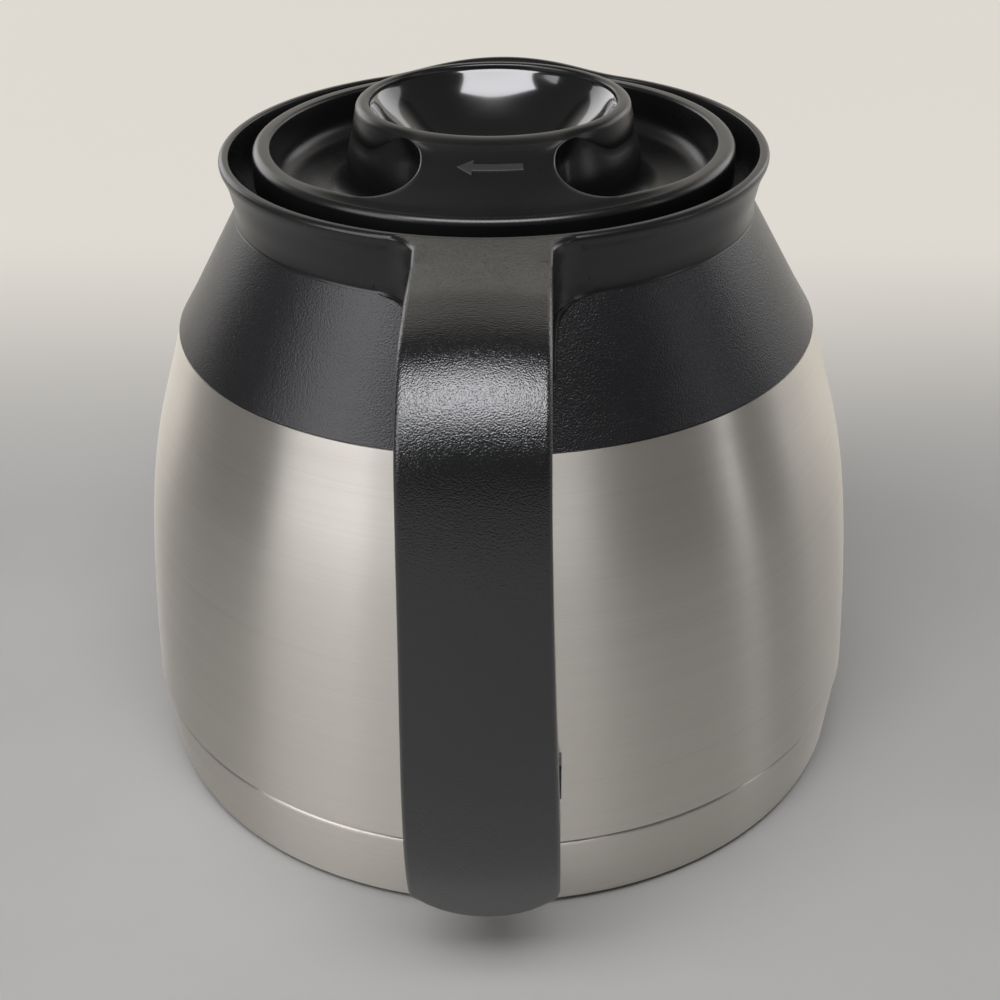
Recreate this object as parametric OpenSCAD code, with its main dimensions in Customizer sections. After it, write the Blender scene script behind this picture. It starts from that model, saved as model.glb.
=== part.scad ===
// Thermal carafe with a twist-off drip lid.
// Frame: Z is the axis of the round body, z = 0 is the table,
// the handle points to -Y and the spout to +Y. Millimetres.

/* [Flask] */
// Radius of the steel body just above its seam, the widest place
body_r = 78; // [74:0.5:82]
// Height of the seam between body and base cup
seam_z = 17.4; // [14:0.2:22]
// Radius of the base cup at its lower edge
base_r = 76.2; // [73:0.2:77]
// Height of the lower edge of the black shoulder
shoulder_z = 95.8; // [92:0.2:98]
// Radius of the body at the lower edge of the shoulder
shoulder_r = 65.3; // [63:0.1:67]
// Thickness of the steel sheet of both walls
sheet = 0.6; // [0.5:0.1:0.8]
// Gap between the two steel walls
vacuum_gap = 4; // [3:0.5:5]
// Height of the flask's lip
lip_z = 109.6; // [109:0.1:110]

/* [Collar] */
// Height of the crease between shoulder cone and pouring rim
crease_z = 119.9; // [119:0.1:121]
// Radius at that crease
crease_r = 51.6; // [51:0.1:52]
// Height of the top of the pouring rim
rim_z = 131.2; // [130:0.1:132]
// Outer radius of the pouring rim at its top
rim_r = 54.3; // [53.8:0.1:55]
// Distance that the tip of the spout stands out past the rim
spout_reach = 9.6; // [6:0.2:12]
// Half of the angle that the spout takes up of the rim
spout_half = 30; // [24:1:40]
// Wall of the shoulder cone, measured level
cone_wall = 2.4; // [2:0.1:2.5]

/* [Throat] */
// Inner radius of the throat that the lid plugs into
throat_r = 37; // [37:0.1:37.2]
// Outer radius of the throat
throat_out_r = 39.2; // [39:0.1:39.3]
// Height of the channel floor around the throat
floor_z = 113; // [112.8:0.1:113.4]
// Height of the top of the throat wall
gate_z = 119.3; // [119:0.1:119.4]

/* [Lid] */
// Radius of the lid at its edge
lid_r = 47.5; // [46.5:0.1:48]
// Height of the lid's edge
lid_z = 132.5; // [132:0.1:133]
// Outer radius of the drip dish
dish_r = 27; // [26.8:0.1:27.6]
// Height of the rim of the drip dish, the top of the carafe
dish_z = 140; // [139:0.2:141]
// Inner radius of the two finger recesses
recess_in_r = 29; // [28.8:0.1:29.4]
// Outer radius of the two finger recesses
recess_out_r = 43.9; // [43:0.1:44.2]
// Height of the floor of the finger recesses
recess_z = 123.3; // [123:0.1:126]
// Angle from the handle to the centre of a recess's round end
recess_start = 32.5; // [30:0.5:36]
// Angle from the spout to the centre of a recess's other end
recess_stop = 22; // [20:1:40]
// Degrees that the lid turns to lock
lock_turn = 45; // [30:1:48]

/* [Drip valve] */
// Inner radius of the drip tube
tube_r = 5; // [4.8:0.1:5.2]
// Radius of the valve stem
stem_r = 1.5; // [1.4:0.05:1.55]
// Mean radius of the coil spring
spring_r = 2.9; // [2.7:0.1:3]
// Thickness of the spring wire
spring_wire = 0.6; // [0.5:0.1:0.7]
// Number of turns of the spring
spring_turns = 6; // [4:1:8]

/* [Handle] */
// Height of the crown across the handle's outer face
crown = 0.9; // [0.3:0.1:1.5]
// Rounding of the handle's outer edges
edge_r = 1.2; // [0.8:0.1:3]
// Wall of the hollow handle
handle_wall = 2.6; // [2:0.1:3]

/* [Hidden] */

$fn = 96;
eps = 0.01;

// ---- colours, as the photograph shows them
steel = [0.72, 0.70, 0.67];
grained_black = [0.10, 0.10, 0.11];
satin_black = [0.14, 0.14, 0.14];
gloss_black = [0.04, 0.04, 0.045];
silicone = [0.55, 0.56, 0.56];
plated = [0.62, 0.62, 0.64];

// ---- curves

function bezier(a, b, c, d, t) =
    a * pow(1 - t, 3) + b * 3 * t * pow(1 - t, 2) + c * 3 * t * t * (1 - t) + d * pow(t, 3);

// a point of the smooth curve that runs through b and c
function spline_point(a, b, c, d, t) = 0.5 * (
    2 * b + (c - a) * t + (2 * a - 5 * b + 4 * c - d) * t * t
    + (3 * b - a - 3 * c + d) * t * t * t);

// the smooth curve through all of pts, with steps points a span
function spline(pts, steps) = let (last = len(pts) - 1) [
    for (i = [0 : last - 1], k = [0 : steps - 1])
        spline_point(pts[max(i - 1, 0)], pts[i], pts[i + 1], pts[min(i + 2, last)], k / steps),
    pts[last]
];

// an arc of radius r about c, from angle a to angle b
function arc(c, r, a, b, steps) =
    [for (k = [0 : steps]) let (w = a + (b - a) * k / steps) [c[0] + r * cos(w), c[1] + r * sin(w)]];

function shifted(pts, dr, dz) = [for (p = pts) [p[0] + dr, p[1] + dz]];
function reversed(pts) = [for (i = [len(pts) - 1 : -1 : 0]) pts[i]];

// ---- outlines as [radius, height]

// steel wall from the seam up to the shoulder, a long flat curve that tightens at the top
wall_curve = [for (k = [0 : 16]) bezier(
    [body_r, seam_z], [body_r - 2.6, seam_z + 55.9],
    [shoulder_r + 5.9, shoulder_z - 21.7], [shoulder_r, shoulder_z], k / 16)];

// radius of the shoulder cone and of the pouring rim at height z
cone_slope = (shoulder_r - crease_r) / (crease_z - shoulder_z);
rim_curve = [[crease_r, crease_z], [crease_r + 0.1, crease_z + 1.6], [crease_r + 0.6, crease_z + 4.2],
    [crease_r + 1.3, crease_z + 7.2], [rim_r - 0.4, rim_z - 1], [rim_r, rim_z - 0.5]];
function collar_r(z) = z < crease_z
    ? crease_r + (crease_z - z) * cone_slope
    : lookup(z, [for (p = rim_curve) [p[1], p[0]]]);

// ---- helpers

// a solid between closed rings of points, capped at both ends unless the rings close up
module skin(rings, closed = false) {
    n = len(rings[0]);
    m = len(rings);
    middle = [for (ring = [rings[0], rings[m - 1]])
        [for (axis = [0 : 2]) (min([for (p = ring) p[axis]]) + max([for (p = ring) p[axis]])) / 2]];
    points = concat([for (ring = rings) each ring], middle);
    sides = [for (j = [0 : m - (closed ? 1 : 2)], i = [0 : n - 1])
        let (a = j * n + i, b = j * n + (i + 1) % n,
             c = ((j + 1) % m) * n + (i + 1) % n, d = ((j + 1) % m) * n + i)
        each [[a, b, c], [a, c, d]]];
    caps = closed ? [] : [for (i = [0 : n - 1]) each [
        [m * n, (i + 1) % n, i],
        [m * n + 1, (m - 1) * n + i, (m - 1) * n + (i + 1) % n]]];
    polyhedron(points = points, faces = concat(sides, caps), convexity = 6);
}

// a piece of a ring between two angles
module ring_sector(r1, r2, z1, z2, from, to) {
    rotate([0, 0, from]) rotate_extrude(angle = to - from)
        translate([r1, z1]) square([r2 - r1, z2 - z1]);
}

module ring(r1, r2, z1, z2) {
    rotate_extrude() translate([r1, z1]) square([r2 - r1, z2 - z1]);
}

// ---- flask

// steel shoulder under the cone, up to the neck
neck_r = 42;
shell_shoulder = [[shoulder_r - 2.9, shoulder_z + 0.2], [57, 104.8], [54, 105.6], [44.5, 105.6],
    [neck_r + 0.5, 106], [neck_r, 106.6], [neck_r, lip_z - sheet - 0.1]];

module outer_shell() {
    outside = concat(wall_curve, shell_shoulder);
    inside = concat([[body_r - sheet, seam_z + 0.3]],
        shifted([for (k = [1 : 15]) wall_curve[k]], -sheet, 0),
        [[shoulder_r - 1.8, shoulder_z - 0.6], [shoulder_r - 3.6, shoulder_z - 0.6]],
        [for (k = [1 : 6]) shell_shoulder[k] - [sheet, k < 5 ? sheet : 0]]);
    color(steel) rotate_extrude() polygon(concat(
        [[body_r, seam_z + 0.3]], [for (k = [1 : len(outside) - 1]) outside[k]], reversed(inside)));
}

pad_r = 74.4;
pad_z = 2;
hem_z = 1.2;

module base_cup() {
    outside = [[pad_r + 0.4, hem_z + 0.2], [pad_r + 0.7, hem_z], [base_r - 0.7, hem_z],
        [base_r - 0.2, hem_z + 0.2], [base_r, hem_z + 0.8], [body_r - 0.35, seam_z - 0.9],
        [body_r - 0.5, seam_z - 0.4], [body_r - 0.9, seam_z - 0.3], [body_r - 0.9, seam_z + 3.2]];
    inside = [[body_r - 0.9 - sheet, seam_z + 3.2], [body_r - 0.9 - sheet, seam_z - 1.2],
        [base_r - sheet, hem_z + 1.6], [pad_r - 0.6, pad_z + sheet], [18, pad_z + sheet],
        [16.5, 4.6 + sheet], [0, 4.6 + sheet]];
    color(steel) rotate_extrude() polygon(concat(
        [[0, 4.6], [16, 4.6], [17.5, pad_z], [pad_r + 0.2, pad_z]], outside, inside));
}

flask_floor_z = 7;
module inner_flask() {
    reach = sheet + vacuum_gap;
    floor_curve = arc([64.5, flask_floor_z + 9], 9, -90, 0, 8);
    wall = [for (k = [2 : 15]) wall_curve[k] - [reach, 0]];
    top = [[57, 96.5], [51.5, 102], [48.5, 103], [43, 103], [40.9, 103.5], [40.1, 104.6]];
    color(steel) rotate_extrude() polygon(concat(
        [[0, flask_floor_z]], floor_curve, wall, top,
        [[40.1, lip_z - sheet], [43.4, lip_z - sheet], [43.4, lip_z], [39.5, lip_z]],
        reversed(shifted(top, -sheet, -sheet)), reversed(shifted(wall, -sheet, 0)),
        reversed(shifted(floor_curve, -sheet * 0.6, sheet)), [[0, flask_floor_z + sheet]]));
}

module getter() {
    color(plated) translate([24, 0, flask_floor_z - 0.9]) cylinder(r = 7, h = 0.9);
}

module vacuum_cap() {
    color(satin_black) union() {
        translate([0, 0, pad_z + 0.1]) cylinder(r = 15.6, h = 1);
        ring(11, 12.5, pad_z + 1, 4.5);
    }
}

module foot_pad() {
    color(grained_black) difference() {
        cylinder(r = pad_r, h = pad_z);
        ring(62, 64, -1, 0.6);
        ring(40, 42, -1, 0.6);
    }
}

// ---- collar

module shoulder_cone() {
    color(grained_black) rotate_extrude() polygon([
        [shoulder_r, shoulder_z + 0.4], [shoulder_r - 0.2, shoulder_z + 0.05],
        [shoulder_r - cone_wall, shoulder_z + 0.2], [crease_r - cone_wall, crease_z],
        [crease_r, crease_z]]);
}

// how far the spout pulls the rim out at angle a from the spout, and at height z
function spout_swell(a, z) = abs(a) >= spout_half ? 0
    : spout_reach * pow(cos(90 * a / spout_half), 2)
        * pow(min(max((z - crease_z) / (rim_z - crease_z), 0), 1), 1.3);

rim_steps = 120;
module pour_rim() {
    section = concat(
        [[crease_r - cone_wall - 0.3, floor_z], [crease_r - cone_wall - 0.3, crease_z]],
        [for (p = rim_curve) p + [0, p[1] == crease_z ? 0.02 : 0]],
        [[rim_r - 0.3, rim_z], [rim_r - 1.8, rim_z], [rim_r - 2.2, rim_z - 0.5],
         [rim_r - 2.9, rim_z - 3.7], [rim_r - 3.9, rim_z - 7.2], [rim_r - 5.1, rim_z - 10.2],
         [rim_r - 6.9, rim_z - 12.7], [rim_r - 7.5, rim_z - 14.7], [rim_r - 7.5, floor_z]]);
    color(satin_black) skin([for (k = [0 : rim_steps - 1])
        let (w = 360 * k / rim_steps, off = w > 270 ? w - 450 : w - 90)
        [for (p = section) let (r = p[0] + spout_swell(off, p[1])) [r * cos(w), r * sin(w), p[1]]]],
        closed = true);
}

// lugs stand at these angles, so that the lid goes in one way round
lug_angles = [0, 180, 270];
lug_half = 6;
lug_low = 114.7;
lug_high = 116.8;
slot_gap = 0.4;
window_half = 22;

module bayonet_throat() {
    color(gloss_black) difference() {
        rotate_extrude() polygon([
            [throat_r, 103], [throat_out_r, 103], [throat_out_r, floor_z - 2],
            [44.5, floor_z - 2], [44.5, 106.4], [46.5, 106.4], [46.5, floor_z - 2],
            [48.6, floor_z - 2], [48.6, floor_z], [throat_out_r, floor_z],
            [throat_out_r, gate_z], [throat_r, gate_z]]);
        // the pouring window, on the spout's side
        ring_sector(throat_r - 1, throat_out_r + 1, floor_z + 0.3, gate_z + 1,
            90 - window_half, 90 + window_half);
        // for each lug a way down, and a run to the clockwise side
        for (a = lug_angles) {
            ring_sector(throat_r - 1, throat_out_r + 1, lug_low - slot_gap - 0.1, gate_z + 1,
                a - lug_half - 1, a + lug_half + 1);
            ring_sector(throat_r - 1, throat_out_r + 1, lug_low - slot_gap, lug_high + slot_gap,
                a - lug_half - 1 - lock_turn, a);
        }
    }
}

module neck_gasket() {
    color(silicone) ring(39.9, 43.4, lip_z + 0.05, floor_z - 2 - 0.05);
}

module retaining_ring() {
    // split ring that snaps under the flask's lip
    color(satin_black) ring_sector(neck_r + 0.2, 44.3, 106.7, lip_z - sheet - 0.1, -80, 260);
}

// ---- handle

// stations along the handle: outer face [y, z], inner face [y, z], and width
stations = [
    [-54.0, 131.2, -58.6, 106.5, 32.6],
    [-57.5, 131.2, -61.5, 109.8, 25.0],
    [-65.0, 131.1, -67.0, 115.0, 23.8],
    [-77.0, 130.7, -75.5, 118.4, 23.7],
    [-91.0, 127.2, -84.4, 116.4, 23.7],
    [-100.9, 117.4, -90.2, 109.0, 23.7],
    [-104.6, 104.0, -92.6, 99.0, 23.9],
    [-105.6, 85.0, -93.4, 83.0, 24.6],
    [-105.3, 65.0, -93.2, 64.0, 25.7],
    [-103.8, 48.0, -91.8, 48.5, 26.7],
    [-100.4, 31.0, -87.6, 35.0, 27.4],
    [-95.2, 17.4, -83.2, 24.8, 27.4]
];
span_steps = 4;
handle_line = spline(stations, span_steps);
handle_last = len(handle_line) - 1;
end_bow = 4.4;

// point of the handle: u across, d inwards from the outer face
function handle_point(st, u, d) =
    let (o = [st[0], st[1]], i = [st[2], st[3]], p = o + (i - o) * d / norm(i - o)) [u, p[0], p[1]];

// closed outline of the hollow strap at one station; depth is that of the hollow
function strap_ring(st, depth) =
    let (half = st[4] / 2, t = norm([st[2] - st[0], st[3] - st[1]]), lip = half - handle_wall)
    [for (q = concat(
        [for (k = [-3 : 3]) let (u = k / 3 * (half - edge_r)) [u, crown * pow(u / half, 2)]],
        [[half - 0.3 * edge_r, crown + 0.3 * edge_r], [half, crown + edge_r], [half, t - 0.8],
         [half - 0.8, t], [lip, t], [lip, t - depth], [-lip, t - depth], [-lip, t],
         [-half + 0.8, t], [-half, t - 0.8], [-half, crown + edge_r],
         [-half + 0.3 * edge_r, crown + 0.3 * edge_r]]))
        handle_point(st, q[0], q[1])];

// the root narrows downwards and its outline lies just inside the collar, whatever the station says
root_taper = 0.16;
function on_collar(p) =
    let (x = p[0] * (1 - root_taper * min(1, (rim_z - p[2]) / (rim_z - crease_z))))
    [x, -sqrt(pow(collar_r(p[2]) - 0.4, 2) - x * x), p[2]];

// the lower end bows down at its middle
function bowed(p, half) = p + [0, 0.6, -0.8] * end_bow * (1 - pow(p[0] / half, 2));

hollow_from = 8;
hollow_to = handle_last - 3;
module handle_shell() {
    rings = [for (k = [0 : handle_last])
        let (st = handle_line[k], t = norm([st[2] - st[0], st[3] - st[1]]),
             depth = k < hollow_from || k > hollow_to ? 0.3 : t - 3.2,
             outline = strap_ring(st, depth))
        k == 0 ? [for (p = outline) on_collar(p)]
        : k == handle_last ? [for (p = outline) bowed(p, st[4] / 2)]
        : outline];
    color(grained_black) skin(rings);
}

liner_from = hollow_from + 1;
liner_to = handle_last - 11;
module handle_liner() {
    rings = [for (k = [liner_from : liner_to])
        let (st = handle_line[k], half = st[4] / 2 - handle_wall - 0.15,
             t = norm([st[2] - st[0], st[3] - st[1]]))
        [for (q = [[-half, t - 2.2], [half, t - 2.2], [half, t], [-half, t]])
            handle_point(st, q[0], q[1])]];
    color(satin_black) skin(rings);
}

foot_half = 10.6;
foot_low = 31;
foot_high = 40;
foot_back = 95.5;
screw_y = -84.5;

module handle_foot() {
    color(grained_black) difference() {
        union() {
            translate([-foot_half, -foot_back, foot_low])
                cube([2 * foot_half, foot_back - 74, foot_high - foot_low]);
            translate([-13.9, -80, foot_low + 0.5]) cube([27.8, 6, foot_high - foot_low - 1]);
        }
        // it sits on the steel wall and on the bracket's saddle
        cylinder(r = body_r - 0.5, h = 60);
        translate([-8.2, -foot_back - 1, 34.3]) cube([16.4, 30, 2.4]);
        translate([0, screw_y, foot_low - 1]) cylinder(r = 1.7, h = 20);
    }
}

module handle_bracket() {
    // saddle welded to the wall, with a tongue that runs into the foot
    color(steel) difference() {
        translate([-8, -94, 34.5]) cube([16, 94 - body_r + 0.6, 2]);
        cylinder(r = body_r - 0.7, h = 60);
        translate([0, screw_y, 30]) cylinder(r = 1.4, h = 10);
    }
}

module bracket_screw() {
    color(plated) difference() {
        union() {
            translate([0, screw_y, foot_low + 1]) cylinder(r = 1.35, h = foot_high - foot_low - 0.8);
            translate([0, screw_y, foot_high + 0.1]) cylinder(r = 2.9, h = 1.9);
        }
        for (a = [0, 90]) translate([0, screw_y, foot_high + 1.6]) rotate([0, 0, a])
            cube([3.4, 0.8, 1.6], center = true);
    }
}

// ---- lid

recess_mid = (recess_in_r + recess_out_r) / 2;
recess_half = (recess_out_r - recess_in_r) / 2;

// one kidney-shaped finger recess; side is 1 for +X and -1 for -X
module finger_recess(side) {
    first = 270 + side * recess_start;
    span = side * (180 - recess_start - recess_stop);
    height = dish_z - recess_z;
    translate([0, 0, recess_z]) {
        ring_sector(recess_in_r, recess_out_r, 0, height,
            min(first, first + span), max(first, first + span));
        for (a = [first, first + span]) rotate([0, 0, a]) translate([recess_mid, 0, 0])
            cylinder(r = recess_half - 0.05, h = height + 0.1);
    }
}

plug_top = 121.5;
// radius of the seat that holds the glossy bowl
bowl_seat = 24.2;
screw_ring = 27;
screw_angles = [90, 210, 330];

// height of the ramp on the handle's side, from the dish down to the lid's edge, by radius
ramp_line = [[dish_r - 2, dish_z - 0.7], [dish_r + 1.2, dish_z - 0.8], [32, dish_z - 1.9],
    [39, dish_z - 4.8], [44, dish_z - 6.5], [lid_r - 0.7, lid_z]];

// a ring sector on the handle's side under that line, sunk by inset
module ramp(inner, outer, low, half_angle, inset) {
    rotate([0, 0, 270 - half_angle]) rotate_extrude(angle = 2 * half_angle)
        polygon(concat([[inner, low], [inner, lookup(inner, ramp_line) - inset]],
            [for (p = ramp_line) if (p[0] > inner && p[0] < outer) p - [0, inset]],
            [[outer, lookup(outer, ramp_line) - inset], [outer, low]]));
}

module lid_cover() {
    color(satin_black) difference() {
        union() {
            rotate_extrude() polygon([
                [bowl_seat, plug_top], [44.2, plug_top], [46.4, plug_top + 1.4],
                [lid_r, plug_top + 4.2], [lid_r, lid_z - 0.8], [lid_r - 0.25, lid_z - 0.2],
                [lid_r - 0.8, lid_z], [recess_in_r - 0.3, lid_z], [dish_r + 0.4, lid_z + 1.2],
                [dish_r, lid_z + 3], [dish_r, dish_z - 1.2], [dish_r - 0.4, dish_z - 0.4],
                [dish_r - 1.1, dish_z], [dish_r - 1.9, dish_z - 0.1], [bowl_seat + 0.3, dish_z - 0.5],
                [bowl_seat, dish_z - 0.9]]);
            ramp(dish_r - 1.4, lid_r - 0.75, plug_top + 6, recess_start + 4, 0);
        }
        for (side = [-1, 1]) finger_recess(side);
        // hollow under the ramp, open below
        ramp(recess_in_r + 0.8, 42.5, plug_top - 1, 14, 2.4);
        for (a = screw_angles) rotate([0, 0, a]) translate([screw_ring, 0, plug_top - 1])
            cylinder(r = 1.1, h = 10);
    }
}

bowl_low = 126.5;
tube_end = 102.8;

tube_out_r = tube_r + 1.4;
flange_r = tube_r + 2.2;
module drip_dish() {
    // bowl that steepens towards its rim, with a stepped neck that holds the tube's flange
    neck = flange_r + 0.05;
    bowl = spline([[neck, bowl_low], [10, bowl_low + 0.4], [13, bowl_low + 1.6],
        [16, bowl_low + 3.5], [bowl_seat - 4.6, dish_z - 6.7], [bowl_seat - 2.1, dish_z - 4],
        [bowl_seat - 0.3, dish_z - 1.3]], 2);
    color(gloss_black) rotate_extrude() polygon(concat(
        [[neck, bowl_low - 1.4]], bowl, [[bowl_seat - 0.1, dish_z - 1], [bowl_seat - 0.1, dish_z - 4]],
        reversed([for (k = [2 : 10]) bowl[k] + [0.5, -2]]),
        [[flange_r + 2, bowl_low - 2], [flange_r + 2, bowl_low - 4],
         [tube_out_r + 0.05, bowl_low - 4], [tube_out_r + 0.05, bowl_low - 1.4]]));
}

module drip_tube() {
    color(gloss_black) rotate_extrude() polygon([
        [tube_r, tube_end], [tube_r, bowl_low - 0.1], [flange_r, bowl_low - 0.1],
        [flange_r, bowl_low - 1.35], [tube_out_r, bowl_low - 1.35], [tube_out_r, tube_end]]);
}

plug_r = 36.7;
plug_low = 102.6;
seal_low = 105.6;
seal_high = 108.8;

module lid_plug() {
    color(gloss_black) difference() {
        union() {
            ring(plug_r - 2.4, plug_r, plug_low, 119.8);
            ring(tube_r + 1.7, 44, 119.7, plug_top);
            ring(tube_r + 1.7, tube_r + 4.6, 116.5, 119.8);
            for (a = lug_angles)
                ring_sector(plug_r - 0.2, 38.7, lug_low, lug_high, a - lug_half, a + lug_half);
        }
        ring(plug_r - 1.7, plug_r + 1, seal_low, seal_high);
        // three pouring ports side by side, which hold back grounds
        for (a = [77, 90, 103])
            ring_sector(plug_r - 4, plug_r + 1, floor_z + 0.4, 119, a - 5.5, a + 5.5);
        for (a = screw_angles) rotate([0, 0, a]) translate([screw_ring, 0, 119])
            cylinder(r = 1.5, h = 3);
    }
}

module lid_screws() {
    color(plated) for (a = screw_angles) rotate([0, 0, a]) translate([screw_ring, 0, 0]) {
        translate([0, 0, 118]) cylinder(r = 2.6, h = 1.7);
        translate([0, 0, 119.6]) cylinder(r = 1.05, h = 9.9);
    }
}

module tube_gasket() {
    color(silicone) ring(tube_r + 1.45, tube_r + 3.4, 114.9, 116.45);
}

guide_low = 111;
guide_high = 114;
module valve_guide() {
    // three-legged guide pressed into the drip tube
    color(gloss_black) difference() {
        union() {
            ring(tube_r - 0.8, tube_r - 0.02, guide_low, guide_high);
            cylinder_between(stem_r + 1.2, guide_low, guide_high);
            for (a = [0, 120, 240]) rotate([0, 0, a]) translate([stem_r + 0.6, -0.5, guide_low])
                cube([tube_r - stem_r - 1, 1, guide_high - guide_low]);
        }
        cylinder_between(stem_r + 0.06, guide_low - 1, guide_high + 1);
    }
}

module cylinder_between(r, low, high) {
    translate([0, 0, low]) cylinder(r = r, h = high - low);
}

module lid_seal() {
    color(silicone) ring(plug_r - 1.64, throat_r - 0.07, seal_low + 0.15, seal_high - 0.15);
}

button_low = 125.4;
button_high = 128.2;
module drip_valve() {
    color(satin_black) union() {
        cylinder_between(stem_r, 100, button_low + eps);
        cylinder_between(6.2, 99, 101);
        rotate_extrude() polygon([[0, button_low], [3.6, button_low], [3.9, button_low + 0.4],
            [3.9, button_high - 1], [3.2, button_high - 0.4], [1.8, button_high], [0, button_high]]);
    }
}

module valve_washer() {
    color(silicone) ring(stem_r + 0.02, 6, 101, tube_end - 0.3);
}

module valve_spring() {
    coil_low = guide_high + spring_wire / 2 + 0.1;
    coil_high = button_low - spring_wire / 2 - 0.1;
    steps = 12;
    turns = spring_turns * steps;
    rise = (coil_high - coil_low) / turns;
    color(plated) skin([for (k = [0 : turns]) let (w = 360 * k / steps)
        [for (i = [0 : 5]) let (r = spring_r + spring_wire / 2 * cos(60 * i))
            [r * cos(w), r * sin(w), coil_low + rise * k + spring_wire / 2 * sin(60 * i)]]]);
}

outer_shell();
base_cup();
inner_flask();
getter();
vacuum_cap();
foot_pad();
shoulder_cone();
pour_rim();
bayonet_throat();
neck_gasket();
retaining_ring();
handle_shell();
handle_liner();
handle_foot();
handle_bracket();
bracket_screw();
lid_cover();
drip_dish();
drip_tube();
lid_plug();
lid_screws();
tube_gasket();
valve_guide();
lid_seal();
drip_valve();
valve_washer();
valve_spring();
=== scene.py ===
"""Looks of a thermal carafe with a twist-off drip lid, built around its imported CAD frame.

Sizes in the classes are millimetres in the frame's own axes: Z up the body's axis, the handle
towards -Y and the spout towards +Y. Blender itself works in metres.
"""

from __future__ import annotations

import logging
import math
from bisect import bisect_right
from collections.abc import Callable, Iterable, Sequence
from dataclasses import dataclass, field
from enum import Enum

import bmesh
import bpy
from mathutils import Matrix, Vector

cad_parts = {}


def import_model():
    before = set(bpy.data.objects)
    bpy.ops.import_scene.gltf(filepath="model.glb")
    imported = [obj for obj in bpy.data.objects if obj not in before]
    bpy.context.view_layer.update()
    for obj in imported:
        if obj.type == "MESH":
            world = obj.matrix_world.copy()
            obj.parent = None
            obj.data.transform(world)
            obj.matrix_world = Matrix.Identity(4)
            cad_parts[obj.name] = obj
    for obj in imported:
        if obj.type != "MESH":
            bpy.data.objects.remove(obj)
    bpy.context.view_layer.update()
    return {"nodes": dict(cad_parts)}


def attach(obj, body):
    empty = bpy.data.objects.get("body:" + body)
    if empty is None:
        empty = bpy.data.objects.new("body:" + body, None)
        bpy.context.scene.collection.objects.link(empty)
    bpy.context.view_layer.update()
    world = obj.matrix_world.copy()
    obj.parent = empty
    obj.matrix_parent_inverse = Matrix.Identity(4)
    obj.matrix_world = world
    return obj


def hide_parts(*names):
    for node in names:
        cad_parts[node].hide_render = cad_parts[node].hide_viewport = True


MM = 0.001
# vertices nearer to each other than the first are welded, and nearer to a place than the
# second are taken to lie on it, in millimetres
WELD = 0.002
SAME_PLACE = 0.01
LOG = logging.getLogger("carafe")

Point = tuple[float, float, float]
Flat = tuple[float, float]
Piece = bpy.types.Object


# ---- small sums


def smooth_step(value: float, low: float, high: float) -> float:
    """Returns 0 below low, 1 above high, and an eased value between."""
    share = min(max((value - low) / (high - low), 0.0), 1.0)
    return share * share * (3 - 2 * share)


def mix(first: float, second: float, share: float) -> float:
    """Returns the value that lies share of the way from first to second."""
    return first + (second - first) * share


def along(table: Sequence[Flat], at: float) -> float:
    """Looks up a value in a table of rising places, with straight lines between them.

    Args:
        table: Pairs of place and value.
        at: The place to look up.

    Returns:
        The value there, held at both ends.
    """
    if at <= table[0][0]:
        return table[0][1]
    if at >= table[-1][0]:
        return table[-1][1]
    upper = bisect_right([place for place, _ in table], at)
    (a, first), (b, second) = table[upper - 1], table[upper]
    return mix(first, second, (at - a) / (b - a))


def bezier(ends: Sequence[Flat], steps: int) -> list[Flat]:
    """Returns points along a cubic curve with four control points."""
    a, b, c, d = (Vector(end) for end in ends)
    curve = []
    for step in range(steps + 1):
        t = step / steps
        place = a * (1 - t) ** 3 + b * 3 * t * (1 - t) ** 2 + c * 3 * t * t * (1 - t) + d * t**3
        curve.append((place.x, place.y))
    return curve


def flowing(points: Sequence[Sequence[float]], steps: int) -> list[tuple[float, ...]]:
    """Runs a smooth curve through rows of numbers.

    Args:
        points: The rows that the curve passes through.
        steps: Number of new rows in each span.

    Returns:
        The rows of the finer curve, the first and last as given.
    """
    last = len(points) - 1
    rows: list[tuple[float, ...]] = []
    for i in range(last):
        around = [points[max(i - 1, 0)], points[i], points[i + 1], points[min(i + 2, last)]]
        for k in range(steps):
            t = k / steps
            rows.append(
                tuple(
                    0.5 * (2 * b + (c - a) * t + (2 * a - 5 * b + 4 * c - d) * t * t
                           + (3 * b - a - 3 * c + d) * t**3)
                    for a, b, c, d in zip(*around)
                )
            )
    rows.append(tuple(points[-1]))
    return rows


def turned(radius: float, degrees: float, height: float) -> Point:
    """Returns a point by its radius, its angle from the handle towards +X, and its height."""
    angle = math.radians(degrees)
    return radius * math.sin(angle), -radius * math.cos(angle), height


# ---- modelling, as by hand


def deselect_all() -> None:
    """Leaves edit mode and deselects everything, the frame's own nodes too."""
    if bpy.context.object and bpy.context.object.mode != "OBJECT":
        bpy.ops.object.mode_set(mode="OBJECT")
    bpy.ops.object.select_all(action="DESELECT")


def begin_wire(name: str, points: Sequence[Point]) -> Piece:
    """Adds a circle with one vertex for each point, lays it on them and stays in edit mode."""
    deselect_all()
    bpy.ops.mesh.primitive_circle_add(vertices=len(points), radius=MM)
    piece = bpy.context.object
    piece.name = piece.data.name = name
    bpy.ops.object.mode_set(mode="EDIT")
    bpy.ops.mesh.select_all(action="SELECT")
    lay_selected(points)
    return piece


def lay_selected(points: Sequence[Point]) -> None:
    """Moves the selected vertices to the points, in their order."""
    data = bpy.context.object.data
    mesh = bmesh.from_edit_mesh(data)
    chosen = [vertex for vertex in mesh.verts if vertex.select]
    for vertex, point in zip(chosen, points, strict=True):
        vertex.co = Vector(point) * MM
    bmesh.update_edit_mesh(data)


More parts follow.
